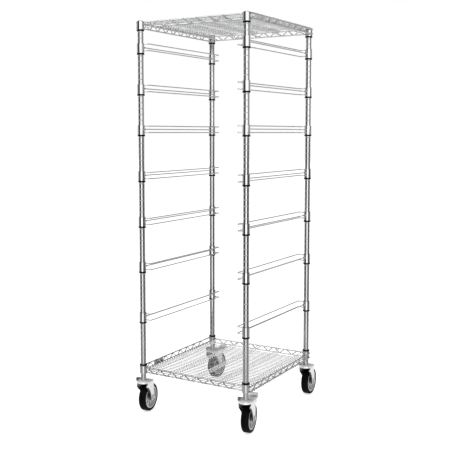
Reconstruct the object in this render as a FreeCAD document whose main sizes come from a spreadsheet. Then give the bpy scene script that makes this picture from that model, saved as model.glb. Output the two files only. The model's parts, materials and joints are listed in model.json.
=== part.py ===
"""Mobile sheet pan rack: four grooved posts, two wire shelves, seven pairs of tray slides, four casters.

Millimetres, +Z up, +X right, -Y the open front. z = 0 is the floor.
"""
import FreeCAD, Part
import math
import os
import Sketcher
from FreeCAD import Placement, Rotation, Vector

doc = FreeCAD.newDocument("SheetPanRack")

# ---------------------------------------------------------------- driving dimensions

SIZES = [
    # the frame's origin is the middle of the whole footprint, and the posts' middle lies this far off
    ("rack_mid_x", 3.7),
    ("rack_mid_y", -40.0),
    ("post_span_x", 531.0),
    ("post_span_y", 594.0),
    ("post_dia", 25.4),
    ("post_wall", 1.5),
    ("post_foot", 154.4),
    ("post_length", 1600.2),
    ("groove_pitch", 25.4),
    ("groove_first", 182.4),
    ("groove_count", 62),
    ("groove_depth", 0.7),
    ("groove_width", 3.0),
    ("cap_rise", 2.4),
    # split sleeve: a tapered plastic shell with a lip at its wide end
    ("sleeve_clearance", 0.1),
    ("sleeve_lip_dia", 31.0),
    ("sleeve_lip_height", 6.0),
    ("sleeve_wide_dia", 29.4),
    ("sleeve_thin_dia", 28.4),
    ("sleeve_height", 37.0),
    ("sleeve_seam_deg", 3.0),
    # the lip's far edge and inner edge lie this far below the groove that the sleeve grips
    ("lip_drop", 13.5),
    ("collar_clearance", 0.05),
    ("slide_collar_dia", 32.0),
    ("slide_collar_height", 42.0),
    ("shelf_collar_dia", 34.0),
    ("shelf_collar_height", 35.0),
    # shelf wires
    ("frame_wire_dia", 6.0),
    ("snake_wire_dia", 4.4),
    ("mat_wire_dia", 3.2),
    ("rib_wire_dia", 4.0),
    ("rib_snake_dia", 2.8),
    ("near_wire_rise", -3.8),
    ("far_wire_rise", 17.0),
    ("mat_pitch", 19.8),
    ("mat_count", 29),
    ("rib_spacing", 119.0),
    ("rib_count", 5),
    ("end_snake_half_pitch", 32.4),
    ("end_snake_start", -235.0),
    ("end_snake_nodes", 15),
    ("side_snake_half_pitch", 31.1),
    ("side_snake_start", -240.0),
    ("side_snake_nodes", 17),
    ("snake_tail", 9.0),
    ("snake_bend_radius", 7.0),
    ("rib_bend_radius", 2.4),
    ("rib_tail", 5.0),
    ("plate_length", 70.0),
    ("plate_height", 20.0),
    ("plate_thickness", 1.2),
    ("plate_mid_y", -147.0),
    # tray slides, heights above the groove that their collars sit on
    ("rail_wire_dia", 4.8),
    ("rail_inset", 43.0),
    ("rail_top_rise", 24.1),
    ("rail_low_rise", -3.8),
    ("rail_bend_radius", 9.0),
    ("tie_wire_inset", 11.4),
    ("tie_wire_rise", 10.2),
    # casters
    ("wheel_dia", 127.0),
    ("wheel_width", 34.0),
    ("rim_dia", 101.0),
    ("trail", 42.0),
    ("hub_width", 38.0),
    ("hub_dia", 30.0),
    ("axle_dia", 9.5),
    ("axle_sleeve_dia", 12.5),
    ("running_gap", 0.06),
    ("fork_inner_half", 21.0),
    ("fork_sheet", 3.0),
    ("fork_top", 150.0),
    ("crown_half_width", 31.0),
    ("stem_dia", 14.0),
    ("ball_dia", 3.0),
    ("ball_circle_dia", 38.0),
    ("ball_count", 24),
    ("race_disc_dia", 48.0),
    ("race_disc_height", 2.4),
    ("lip_rise", 12.5),
    ("skirt_drop", 8.3),
    ("pedal_hinge_y", 48.0),
    ("pedal_hinge_z", 136.0),
    ("pedal_width", 37.0),
    ("pedal_flange", 2.0),
    ("pedal_pin_dia", 5.0),
    # how far each fork is turned at rest, seen from above
    ("swivel_front_left", 7.0),
    ("swivel_front_right", 10.0),
    ("swivel_rear_left", -2.0),
    ("swivel_rear_right", 4.0),
]

SHELF_GROOVES = {"bottom_shelf": 1, "top_shelf": 61}
SLIDE_GROOVES = [10, 19, 27, 35, 43, 50, 57]

sheet = doc.addObject("Spreadsheet::Sheet", "Sizes")
for row, (alias, number) in enumerate(SIZES, start=1):
    sheet.set(f"A{row}", alias)
    sheet.set(f"B{row}", str(number))
    sheet.setAlias(f"B{row}", alias)
doc.recompute()


def size(alias):
    """A driving dimension's number."""
    return float(sheet.get(alias))


def bind(thing, prop, expression):
    """Ties a property to the sheet. Words in the expression that name a cell stand for that cell."""
    for alias, _ in sorted(SIZES, key=lambda pair: -len(pair[0])):
        expression = expression.replace(f"<{alias}>", f"Sizes.{alias}")
    thing.setExpression(prop, expression)


# ---------------------------------------------------------------- sketch and feature helpers


def new_body(name):
    body = doc.addObject("PartDesign::Body", name)
    body.AllowCompound = True
    return body


def new_sketch(body, name, role, lift=0.0):
    """A sketch on one of the body's own origin planes, moved along that plane's normal."""
    drawn = body.newObject("Sketcher::SketchObject", name)
    plane = next(f for f in body.Origin.OriginFeatures if f.Role == role)
    drawn.AttachmentSupport = [(plane, "")]
    drawn.MapMode = "FlatFace"
    drawn.AttachmentOffset = Placement(Vector(0, 0, lift), Rotation())
    return drawn


def draw_outline(drawn, points):
    """A closed outline of (x, y) points. An arc through the middle leads to (x, y, mid_x, mid_y)."""
    before = points[-1]
    for point in points:
        here, end = Vector(before[0], before[1], 0), Vector(point[0], point[1], 0)
        if len(point) == 4:
            drawn.addGeometry(Part.Arc(here, Vector(point[2], point[3], 0), end), False)
        else:
            drawn.addGeometry(Part.LineSegment(here, end), False)
        before = point


def draw_circle(drawn, x, y, diameter):
    """A circle whose radius follows the sheet."""
    index = drawn.addGeometry(
        Part.Circle(Vector(x, y, 0), Vector(0, 0, 1), size(diameter) / 2), False
    )
    rule = drawn.addConstraint(Sketcher.Constraint("Radius", index, size(diameter) / 2))
    bind(drawn, f"Constraints[{rule}]", f"<{diameter}> / 2")


def pad(body, drawn, length, midplane=False):
    """Pads a sketch by a length given as an expression."""
    made = body.newObject("PartDesign::Pad", drawn.Name + "_pad")
    made.Profile = drawn
    made.Midplane = midplane
    bind(made, "Length", length)
    body.Tip = made
    return made


def pocket(body, drawn, length, midplane=False, reversed_=False):
    made = body.newObject("PartDesign::Pocket", drawn.Name + "_cut")
    made.Profile = drawn
    made.Midplane = midplane
    made.Reversed = reversed_
    bind(made, "Length", length)
    body.Tip = made
    return made


def row_of(body, feature, drawn, axis, length, count):
    """A linear pattern of a feature along a sketch axis."""
    made = body.newObject("PartDesign::LinearPattern", feature.Name + "_row")
    made.Originals = [feature]
    made.Direction = (drawn, [axis])
    bind(made, "Length", length)
    bind(made, "Occurrences", count)
    body.Tip = made
    return made


def turned(name, points, angle=360.0):
    """A body turned about Z from an outline of (radius, height) points."""
    body = new_body(name)
    drawn = new_sketch(body, name + "_profile", "XZ_Plane")
    draw_outline(drawn, points)
    made = body.newObject("PartDesign::Revolution", name + "_turn")
    made.Profile = drawn
    made.ReferenceAxis = (drawn, ["V_Axis"])
    made.Angle = angle
    body.Tip = made
    return body


def draw_path(drawn, points, radius):
    """An open path through the points with every corner rounded to the radius."""
    start = Vector(*points[0], 0)
    for before, corner, after in zip(points, points[1:], points[2:]):
        before, corner, after = (Vector(*p, 0) for p in (before, corner, after))
        back, ahead = (before - corner).normalize(), (after - corner).normalize()
        half = back.getAngle(ahead) / 2
        reach = radius / math.tan(half)
        inward = (back + ahead).normalize()
        middle = corner + inward * (radius / math.sin(half) - radius)
        first, last = corner + back * reach, corner + ahead * reach
        drawn.addGeometry(Part.LineSegment(start, first), False)
        drawn.addGeometry(Part.Arc(first, middle, last), False)
        start = last
    drawn.addGeometry(Part.LineSegment(start, Vector(*points[-1], 0)), False)


def bent_wire(name, role, points, radius, diameter):
    """Round wire bent along a flat path in the XY or XZ plane. The path sets out along +X."""
    body = new_body(name)
    path = new_sketch(body, name + "_path", role)
    draw_path(path, points, radius)
    drawn = new_sketch(body, name + "_section", "YZ_Plane", points[0][0])
    across, up = (points[0][1], 0) if role == "XY_Plane" else (0, points[0][1])
    draw_circle(drawn, across, up, diameter)
    doc.recompute()
    made = body.newObject("PartDesign::AdditivePipe", name + "_bend")
    made.Profile = drawn
    made.Spine = (path, [f"Edge{n + 1}" for n in range(len(path.Shape.Edges))])
    body.Tip = made
    return body


def rod(name, diameter, start, end):
    """A straight length of wire between two points."""
    made = doc.addObject("Part::Cylinder", name)
    run = Vector(*end) - Vector(*start)
    bind(made, "Radius", f"<{diameter}> / 2")
    made.Height = run.Length
    made.Placement = Placement(Vector(*start), Rotation(Vector(0, 0, 1), run))
    return made


def turned_copy(name, piece, angle, shift=(0, 0, 0)):
    """The same piece turned about Z and shifted."""
    made = doc.addObject("Part::Compound", name)
    made.Links = [piece]
    made.Placement = Placement(Vector(*shift), Rotation(Vector(0, 0, 1), angle))
    return made


NODES = []


def node(label, pieces, x="0", y="0", z="0", angle="0"):
    """A named sub-part: its pieces, placed from the middle of the four posts at floor level."""
    made = doc.addObject("Part::Compound", label)
    made.Label = label
    made.Links = pieces
    made.Placement = Placement(Vector(0, 0, 0), Rotation(Vector(0, 0, 1), 1.0))
    bind(made, "Placement.Base.x", f"<rack_mid_x> + {x}")
    bind(made, "Placement.Base.y", f"<rack_mid_y> + {y}")
    bind(made, "Placement.Base.z", z)
    bind(made, "Placement.Rotation.Angle", f"({angle}) * 1 deg")
    NODES.append(made)
    return made


CORNERS = {
    "front_left": ("- <post_span_x> / 2", "- <post_span_y> / 2", -1, -1),
    "front_right": ("<post_span_x> / 2", "- <post_span_y> / 2", 1, -1),
    "rear_left": ("- <post_span_x> / 2", "<post_span_y> / 2", -1, 1),
    "rear_right": ("<post_span_x> / 2", "<post_span_y> / 2", 1, 1),
}

HALF_X = size("post_span_x") / 2
HALF_Y = size("post_span_y") / 2


def groove_height(number):
    """The height of a post groove, counted from the lowest as 0."""
    return f"<groove_first> + <groove_pitch> * {number}"


# ---------------------------------------------------------------- posts and caps


def make_post():
    """A tube with a ring groove every inch."""
    outer = size("post_dia") / 2
    inner = outer - size("post_wall")
    foot = size("post_foot")
    top = foot + size("post_length")
    body = turned("post_tube", [(inner, foot), (outer, foot), (outer, top), (inner, top)])
    drawn = new_sketch(body, "post_groove_profile", "XZ_Plane")
    middle, half = size("groove_first"), size("groove_width") / 2
    clear = outer + 1.0
    floor = outer - size("groove_depth")
    draw_outline(
        drawn,
        [
            (clear, middle - half),
            (clear, middle + half),
            (outer, middle + half),
            (outer, middle - half, floor, middle),
        ],
    )
    cut = body.newObject("PartDesign::Groove", "post_groove")
    cut.Profile = drawn
    cut.ReferenceAxis = (drawn, ["V_Axis"])
    cut.Angle = 360.0
    body.Tip = cut
    row_of(body, cut, drawn, "V_Axis", "<groove_pitch> * (<groove_count> - 1)", "<groove_count>")
    return body


def make_cap():
    """A plug that closes the post's top end, with a low domed head."""
    outer = size("post_dia") / 2
    plug = outer - size("post_wall") - size("sleeve_clearance")
    top = size("post_foot") + size("post_length")
    rise = size("cap_rise")
    flat = outer - 3.5
    return turned(
        "cap",
        [
            (0, top - 14),
            (plug - 0.6, top - 14),
            (plug, top - 12),
            (plug, top),
            (outer, top),
            (outer, top + 0.6),
            (flat, top + rise, outer - 1.4, top + rise - 0.6),
            (0, top + rise),
        ],
    )


post = make_post()
for corner, (x, y, _, _) in CORNERS.items():
    node("post_" + corner, [post], x, y)

cap = make_cap()
caps = [
    turned_copy("cap_" + corner, cap, 0, (side_x * HALF_X, side_y * HALF_Y, 0))
    for corner, (_, _, side_x, side_y) in CORNERS.items()
]
node("post_caps", caps)

# ---------------------------------------------------------------- split sleeves


def make_half_sleeve():
    """Half of the tapered sleeve, its inner bead in the groove at z = 0 and its lip below."""
    bore = size("post_dia") / 2 + size("sleeve_clearance")
    lip_top = -size("lip_drop")
    lip_low = lip_top - size("sleeve_lip_height")
    lip, wide, thin = (size(k) / 2 for k in ("sleeve_lip_dia", "sleeve_wide_dia", "sleeve_thin_dia"))
    top = lip_low + size("sleeve_height")
    bead, bead_half = bore - 0.5, 1.0
    return turned(
        "half_sleeve",
        [
            (bore, lip_low),
            (lip - 0.6, lip_low),
            (lip, lip_low + 0.6),
            (lip, lip_top - 0.6),
            (lip - 0.6, lip_top),
            (wide, lip_top),
            (thin, top),
            (bore, top),
            (bore, bead_half),
            (bore, -bead_half, bead, 0),
        ],
        180.0 - size("sleeve_seam_deg"),
    )


half_sleeve = make_half_sleeve()
half_turn = size("sleeve_seam_deg") / 2
sleeve_halves = [
    turned_copy(
        f"sleeve_{corner}_{side}",
        half_sleeve,
        half_turn + 180 * side,
        (side_x * HALF_X, side_y * HALF_Y, 0),
    )
    for corner, (_, _, side_x, side_y) in CORNERS.items()
    for side in (0, 1)
]


def sleeve_node(label, groove, upside_down=False):
    """The eight half sleeves of one level. An upside-down shelf has its sleeves' lips on top."""
    made = node(label, sleeve_halves, z=groove_height(groove))
    if upside_down:
        made.setExpression("Placement.Rotation.Angle", None)
        made.Placement.Rotation = Rotation(Vector(0, 1, 0), 180)
    return made


# ---------------------------------------------------------------- wire shelves


def make_collar(name, diameter, height):
    """A tube whose bore tapers to the sleeve, standing on the sleeve's lip."""
    outer = size(diameter) / 2
    low = -size("lip_drop")
    top = low + size(height)
    wide, thin = (size(k) / 2 + size("collar_clearance") for k in ("sleeve_wide_dia", "sleeve_thin_dia"))
    sleeve_top = -size("lip_drop") - size("sleeve_lip_height") + size("sleeve_height")
    edge = 0.5
    return turned(
        name,
        [
            (wide, low),
            (outer - edge, low),
            (outer, low + edge),
            (outer, top - edge),
            (outer - edge, top),
            (thin, top),
            (thin, sleeve_top),
        ],
    )


def zigzag(start, step, count, low, high, tail, radius, first_high=True):
    """Path points of a snaked wire: nodes alternate between two heights, with a short tail at each end.

    Rounding a corner pulls the wire back from it, so the corners stand out past the heights that
    the rounded crests have to reach."""
    past = 0.0
    for _ in range(20):
        slope = math.atan2(high - low + 2 * past, step)
        past = radius * (1 / math.cos(slope) - 1)
    level, corner = ((high, low), (high + past, low - past))
    turn = 0 if first_high else 1
    nodes = [(start + step * n, corner[(n + turn) % 2]) for n in range(count)]
    first, last = level[turn], level[(count - 1 + turn) % 2]
    nodes[0], nodes[-1] = (start, first), (start + step * (count - 1), last)
    return [(start - tail, first)] + nodes + [(nodes[-1][0] + tail, last)]


def make_shelf_pieces():
    """Pieces of one shelf about the groove that it sits on, mat on top."""
    frame_wire, snake_wire = size("frame_wire_dia"), size("snake_wire_dia")
    mat_wire, rib_wire = size("mat_wire_dia"), size("rib_wire_dia")
    near, far = size("near_wire_rise"), size("far_wire_rise")
    collar_radius = size("shelf_collar_dia") / 2
    side_x = HALF_X + collar_radius + frame_wire / 2
    collar = make_collar("shelf_collar", "shelf_collar_dia", "shelf_collar_height")
    frame = [
        turned_copy("shelf_collar_" + corner, collar, 0, (sx * HALF_X, sy * HALF_Y, 0))
        for corner, (_, _, sx, sy) in CORNERS.items()
    ]
    end_run = HALF_X - collar_radius
    for level, rise in (("near", near), ("far", far)):
        for end, sy in (("front", -1), ("rear", 1)):
            start, stop = (-end_run, sy * HALF_Y, rise), (end_run, sy * HALF_Y, rise)
            frame.append(rod(f"{end}_{level}_wire", "frame_wire_dia", start, stop))
        for side, sx in (("left", -1), ("right", 1)):
            start, stop = (sx * side_x, -HALF_Y, rise), (sx * side_x, HALF_Y, rise)
            frame.append(rod(f"{side}_{level}_wire", "frame_wire_dia", start, stop))

    bend, tail = size("snake_bend_radius"), size("snake_tail")

    def perimeter_snake(name, run, first_high):
        start, step, count = (size(f"{run}_snake_{word}") for word in ("start", "half_pitch", "nodes"))
        path = zigzag(start, step, int(count), near, far, tail, bend, first_high)
        return bent_wire(name, "XZ_Plane", path, bend, "snake_wire_dia")

    side_snake = perimeter_snake("side_snake", "side", True)
    # the end snakes are welded outside their wires, clear of the ribs, and the side snakes inside
    beside = (frame_wire + snake_wire) / 2
    snakes = {}
    for shelf in SHELF_GROOVES:
        end_snake = perimeter_snake(f"{shelf}_end_snake", "end", shelf == "top_shelf")
        snakes[shelf] = [
            turned_copy(f"{shelf}_front_snake", end_snake, 0, (0, -HALF_Y - beside, 0)),
            turned_copy(f"{shelf}_rear_snake", end_snake, 0, (0, HALF_Y + beside, 0)),
            turned_copy(f"{shelf}_left_snake", side_snake, 90, (-side_x + beside, 0, 0)),
            turned_copy(f"{shelf}_right_snake", side_snake, 90, (side_x - beside, 0, 0)),
        ]

    mat_rise = far + (frame_wire + mat_wire) / 2
    mat_body = new_body("mat_wire")
    reach = side_x + frame_wire / 2
    drawn = new_sketch(mat_body, "mat_section", "YZ_Plane", -reach)
    draw_circle(drawn, -size("mat_pitch") * (size("mat_count") - 1) / 2, mat_rise, "mat_wire_dia")
    one = pad(mat_body, drawn, f"{2 * reach}")
    row_of(mat_body, one, drawn, "H_Axis", "<mat_pitch> * (<mat_count> - 1)", "<mat_count>")

    rib_rise = near + (frame_wire + rib_wire) / 2
    rib_reach = HALF_Y + 2
    rib_body = new_body("rib_wire")
    drawn = new_sketch(rib_body, "rib_section", "XZ_Plane", -rib_reach)
    draw_circle(drawn, -size("rib_spacing") * (size("rib_count") - 1) / 2, rib_rise, "rib_wire_dia")
    one = pad(rib_body, drawn, f"{2 * rib_reach}")
    row_of(rib_body, one, drawn, "H_Axis", "<rib_spacing> * (<rib_count> - 1)", "<rib_count>")

    # each crest of the rib's own snaked wire carries one mat wire
    thin = size("rib_snake_dia")
    low = rib_rise + (rib_wire + thin) / 2
    high = mat_rise - (mat_wire + thin) / 2
    step = size("mat_pitch") / 2
    count = 2 * int(size("mat_count")) - 1
    start = -step * (count - 1) / 2
    bend = size("rib_bend_radius")
    path = zigzag(start, step, count, low, high, size("rib_tail"), bend)
    rib_snake = bent_wire("rib_snake", "XZ_Plane", path, bend, "rib_snake_dia")
    spacing, rib_count = size("rib_spacing"), int(size("rib_count"))
    ribs = [rib_body] + [
        turned_copy(f"rib_snake_{n + 1}", rib_snake, 90, ((n - (rib_count - 1) / 2) * spacing, 0, 0))
        for n in range(rib_count)
    ]
    return {
        shelf: {"frame": frame, "trusses": snakes[shelf], "mat": [mat_body], "ribs": ribs}
        for shelf in SHELF_GROOVES
    }


shelf_pieces = make_shelf_pieces()
for shelf, groove in SHELF_GROOVES.items():
    for part_name, pieces in shelf_pieces[shelf].items():
        made = node(f"{shelf}_{part_name}", pieces, z=groove_height(groove))
        if shelf == "bottom_shelf":
            made.setExpression("Placement.Rotation.Angle", None)
            made.Placement.Rotation = Rotation(Vector(1, 0, 0), 180)
    sleeve_node(f"{shelf}_sleeves", groove, shelf == "bottom_shelf")


def make_plate():
    """A plain thin plate with rounded corners, lying against the outside of a truss."""
    body = new_body("plate")
    half_length, half_height = size("plate_length") / 2, size("plate_height") / 2
    round_, bulge = 3.0, 3.0 * (1 - math.sqrt(0.5))
    a, b = half_length, half_height
    drawn = new_sketch(body, "plate_outline", "YZ_Plane")
    draw_outline(
        drawn,
        [
            (-a + round_, -b, -a + bulge, -b + bulge),
            (a - round_, -b),
            (a, -b + round_, a - bulge, -b + bulge),
            (a, b - round_),
            (a - round_, b, a - bulge, b - bulge),
            (-a + round_, b),
            (-a, b - round_, -a + bulge, b - bulge),
            (-a, -b + round_),
        ],
    )
    pad(body, drawn, "<plate_thickness>")
    return body


node(
    "blank_plate",
    [make_plate()],
    x="- <post_span_x> / 2 - <shelf_collar_dia> / 2 - <frame_wire_dia> - <plate_thickness>",
    y="<plate_mid_y>",
    z=groove_height(SHELF_GROOVES["bottom_shelf"]) + " - (<near_wire_rise> + <far_wire_rise>) / 2",
)

# ---------------------------------------------------------------- tray slides


def make_slide_pieces():
    """The left slide about its groove: two collars, two U-shaped rail wires and a straight tie wire."""
    collar_radius = size("slide_collar_dia") / 2
    wire = size("rail_wire_dia")
    inset = size("rail_inset")
    collar = make_collar("slide_collar", "slide_collar_dia", "slide_collar_height")
    pieces = [
        turned_copy("slide_collar_front", collar, 0, (0, -HALF_Y, 0)),
        turned_copy("slide_collar_rear", collar, 0, (0, HALF_Y, 0)),
    ]
    rail = bent_wire(
        "slide_rail",
        "XY_Plane",
        [(collar_radius, -HALF_Y), (inset, -HALF_Y), (inset, HALF_Y), (collar_radius, HALF_Y)],
        size("rail_bend_radius"),
        "rail_wire_dia",
    )
    for level in ("low", "top"):
        rise = size(f"rail_{level}_rise")
        pieces.append(turned_copy(f"slide_rail_{level}", rail, 0, (0, 0, rise)))
    tie_inset = size("tie_wire_inset")
    tie_reach = HALF_Y - math.sqrt(collar_radius**2 - (tie_inset - wire / 2) ** 2)
    rise = size("tie_wire_rise")
    pieces.append(
        rod("slide_tie", "rail_wire_dia", (tie_inset, -tie_reach, rise), (tie_inset, tie_reach, rise))
    )
    return pieces


slide_pieces = make_slide_pieces()
for number, groove in enumerate(SLIDE_GROOVES, start=1):
    z = groove_height(groove)
    node(f"tray_slide_left_{number}", slide_pieces, x="- <post_span_x> / 2", z=z)
    node(f"tray_slide_right_{number}", slide_pieces, x="<post_span_x> / 2", z=z, angle="180")
    sleeve_node(f"tray_slide_sleeves_{number}", groove)

# ---------------------------------------------------------------- casters


def make_stem():
    """Stem, upper race and king pin in one turned piece, from the pin's head up into the post."""
    pin = size("stem_dia") / 2
    foot = size("post_foot")
    under_crown = size("fork_top") - size("fork_sheet")
    disc, disc_low = size("race_disc_dia") / 2, foot - size("race_disc_height")
    shoulder = size("post_dia") / 2 + 1
    return turned(
        "stem",
        [
            (0, under_crown - 4.5),
            (pin + 2.5, under_crown - 4.5),
            (pin + 4, under_crown - 0.4, pin + 4, under_crown - 3),
            (pin, under_crown - 0.4),
            (pin, disc_low),
            (disc - 0.6, disc_low),
            (disc - 0.6, disc_low + 1.2, disc, disc_low + 0.6),
            (shoulder, foot),
            (pin, foot),
            (pin, foot + 30),
            (pin - 2, foot + 32),
            (0, foot + 32),
        ],
    )


def make_socket():
    """The ribbed socket that holds the stem in the post's foot."""
    pin = size("stem_dia") / 2 + 0.02
    outer = size("post_dia") / 2 - size("post_wall") - 0.02
    foot = size("post_foot")
    outline = [(pin, foot + 2), (outer - 0.6, foot + 2)]
    for rib in range(4):
        low = foot + 4 + 6 * rib
        outline += [(outer, low), (outer, low + 3), (outer - 0.8, low + 4)]
    return turned("socket", outline + [(outer - 0.8, foot + 28), (pin, foot + 28)])


def make_balls():
    """The ring of balls between the races."""
    radius = size("ball_dia") / 2
    ring = size("ball_circle_dia") / 2
    middle = size("post_foot") - size("race_disc_height") - radius - 0.05
    balls = []
    for n in range(int(size("ball_count"))):
        turn = 2 * math.pi * n / size("ball_count")
        ball = doc.addObject("Part::Sphere", f"ball_{n + 1}")
        bind(ball, "Radius", "<ball_dia> / 2")
        ball.Placement.Base = Vector(ring * math.cos(turn), ring * math.sin(turn), middle)
        balls.append(ball)
    ring_of_balls = doc.addObject("Part::Compound", "ball_ring")
    ring_of_balls.Links = balls
    return ring_of_balls


def make_fork(name, back, waist):
    """A pressed yoke: a flared channel trimmed to its plan and to the side view of its legs.

    Its crown reaches back to one distance behind the post's axis and its legs' rear edge to another."""
    inner, sheet_t = size("fork_inner_half"), size("fork_sheet")
    top, crown = size("fork_top"), size("crown_half_width")
    wheel_z, trail = size("wheel_dia") / 2, size("trail")
    outer, crown_in = inner + sheet_t, crown - sheet_t
    low, knee, shoulder = wheel_z - 15, 98.0, top - 12
    bow = 6.0

    channel = new_body(f"{name}_channel")
    drawn = new_sketch(channel, f"{name}_front_view", "XZ_Plane", -90)
    draw_outline(
        drawn,
        [
            (-outer, low),
            (-inner, low),
            (-inner, knee),
            (-crown_in, shoulder, -inner - 2.4, knee + 24),
            (-crown_in + bow, top - sheet_t, -crown_in + 1.6, top - sheet_t - 2.2),
            (crown_in - bow, top - sheet_t),
            (crown_in, shoulder, crown_in - 1.6, top - sheet_t - 2.2),
            (inner, knee, inner + 2.4, knee + 24),
            (inner, low),
            (outer, low),
            (outer, knee),
            (crown, shoulder + 0.5, outer + 2.2, knee + 23.5),
            (crown - bow, top, crown - 1.4, top - 2.4),
            (-crown + bow, top),
            (-crown, shoulder + 0.5, -crown + 1.4, top - 2.4),
            (-outer, knee, -outer - 2.2, knee + 23.5),
        ],
    )
    pad(channel, drawn, "180")

    # the legs' front edge sweeps down and back from the round front of the crown
    side = new_body(f"{name}_side")
    drawn = new_sketch(side, f"{name}_side_view", "YZ_Plane")
    draw_outline(
        drawn,
        [
            (-crown - 1, top + 1),
            (-crown - 1, top - size("skirt_drop")),
            (trail - 30, wheel_z + 29, -14, top - 31),
            (trail - 24, wheel_z - 3),
            (trail + 13, wheel_z - 1, trail - 4, wheel_z - 13),
            (trail + 13, wheel_z + 14),
            (back, top - sheet_t, waist, top - 36),
            (back, top + 1),
        ],
    )
    pad(side, drawn, "100", midplane=True)
    plan = new_body(f"{name}_plan")
    drawn = new_sketch(plan, f"{name}_plan_view", "XY_Plane")
    rear = trail + 30
    draw_outline(drawn, [(-crown, 0), (crown, 0, 0, -crown), (crown, rear), (-crown, rear)])
    pad(plan, drawn, f"{top + 10}")
    sheet_metal = doc.addObject("Part::MultiCommon", f"{name}_sheet_metal")
    sheet_metal.Shapes = [channel, side, plan]

    # a rim round the race keeps dirt off the balls
    rim = size("race_disc_dia") / 2 + 1.0
    race_rim = turned(
        f"{name}_race_rim",
        [
            (rim, top - 1),
            (rim + 2.4, top - 1),
            (rim + 2.4, top + 1.4),
            (rim + 1.6, top + 2.4, rim + 2.2, top + 2.2),
            (rim, top + 2.4),
        ],
    )
    # the crown's front wall
    skirt_low = top - size("skirt_drop")
    skirt = turned(
        f"{name}_skirt",
        [
            (crown_in, skirt_low),
            (crown - 0.8, skirt_low),
            (crown, skirt_low + 0.8),
            (crown, top - 1),
            (crown_in, top - 1),
        ],
        180,
    )
    front_wall = turned_copy(f"{name}_front_wall", skirt, 180)
    # a lock plate's flange stands at the left of the crown, high in front and falling to the rear
    lip_profile = new_body(f"{name}_lip_profile")
    drawn = new_sketch(lip_profile, f"{name}_lip_front_view", "XZ_Plane", -40)
    lip_top = top + size("lip_rise")
    draw_outline(
        drawn,
        [
            (-crown + 7, top - 1.5),
            (-crown + 7, top + 0.4),
            (-crown + 0.5, top + 3.4, -crown + 2.0, top + 1.0),
            (-crown - 1.0, lip_top),
            (-crown - 3.2, lip_top),
            (-crown - 1.7, top + 2.4),
            (-crown + 3, top - 1.5, -crown - 0.4, top - 0.9),
        ],
    )
    pad(lip_profile, drawn, "60")
    lip_side = new_body(f"{name}_lip_side")
    drawn = new_sketch(lip_side, f"{name}_lip_side_view", "YZ_Plane")
    low = top - 2
    draw_outline(
        drawn,
        [
            (-14, low),
            (-14, lip_top - 5),
            (-8, lip_top, -12, lip_top - 1.2),
            (2, lip_top),
            (34, top + 1.5),
            (36, low),
        ],
    )
    pad(lip_side, drawn, "100", midplane=True)
    lip = doc.addObject("Part::MultiCommon", f"{name}_lip")
    lip.Shapes = [lip_profile, lip_side]
    joined = doc.addObject("Part::MultiFuse", f"{name}_joined")
    joined.Shapes = [sheet_metal, race_rim, front_wall, lip]

    axle_hole = rod(f"{name}_axle_hole", "axle_dia", (-60, trail, wheel_z), (60, trail, wheel_z))
    bind(axle_hole, "Radius", "<axle_dia> / 2 + <running_gap>")
    pin_hole = rod(f"{name}_pin_hole", "stem_dia", (0, 0, top - 10), (0, 0, top + 10))
    bind(pin_hole, "Radius", "<stem_dia> / 2 + 0.25")
    race, ball = size("ball_circle_dia") / 2, size("ball_dia") / 2
    race_low = size("post_foot") - size("race_disc_height") - 2 * ball - 0.1
    ball_race = turned(
        f"{name}_ball_race",
        [
            (race - ball - 0.4, race_low),
            (race + ball + 0.4, race_low),
            (race + ball + 0.4, top + 1),
            (race - ball - 0.4, top + 1),
        ],
    )
    holes = doc.addObject("Part::MultiFuse", f"{name}_holes")
    holes.Shapes = [axle_hole, pin_hole, ball_race]
    bare = doc.addObject("Part::Cut", f"{name}_drilled")
    bare.Base = joined
    bare.Tool = holes
    return bare


def make_braked_fork(bare):
    """A fork drilled through both legs for the pedal's hinge pin."""
    hinge_y, hinge_z = size("pedal_hinge_y"), size("pedal_hinge_z")
    hole = rod("fork_hinge_hole", "pedal_pin_dia", (-60, hinge_y, hinge_z), (60, hinge_y, hinge_z))
    bind(hole, "Radius", "<pedal_pin_dia> / 2 + <running_gap>")
    drilled = doc.addObject("Part::Cut", "fork_braked")
    drilled.Base = bare
    drilled.Tool = hole
    return drilled


def lay_on_axle(name, piece):
    """Turns a piece made about Z onto the wheel's axis."""
    made = doc.addObject("Part::Compound", name)
    made.Links = [piece]
    made.Placement = Placement(
        Vector(0, size("trail"), size("wheel_dia") / 2), Rotation(Vector(0, 1, 0), 90)
    )
    return made


def make_tyre():
    """A tyre with rounded shoulders and shallow running grooves."""
    outer, rim, half = size("wheel_dia") / 2, size("rim_dia") / 2, size("wheel_width") / 2
    edge, slot, depth = 4.0, 1.2, 0.8
    outline = [(rim, -half + 1.5), (rim + 1.5, -half), (outer - edge - 1, -half)]
    outline.append((outer, -half + edge + 1, outer - 1.6, -half + 1.8))
    for middle in (-5.0, 0.0, 5.0):
        outline += [
            (outer, middle - slot),
            (outer - depth, middle - slot / 2),
            (outer - depth, middle + slot / 2),
            (outer, middle + slot),
        ]
    outline += [
        (outer, half - edge - 1),
        (outer - edge - 1, half, outer - 1.6, half - 1.8),
        (rim + 1.5, half),
        (rim, half - 1.5),
    ]
    return turned("tyre", outline)


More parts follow.
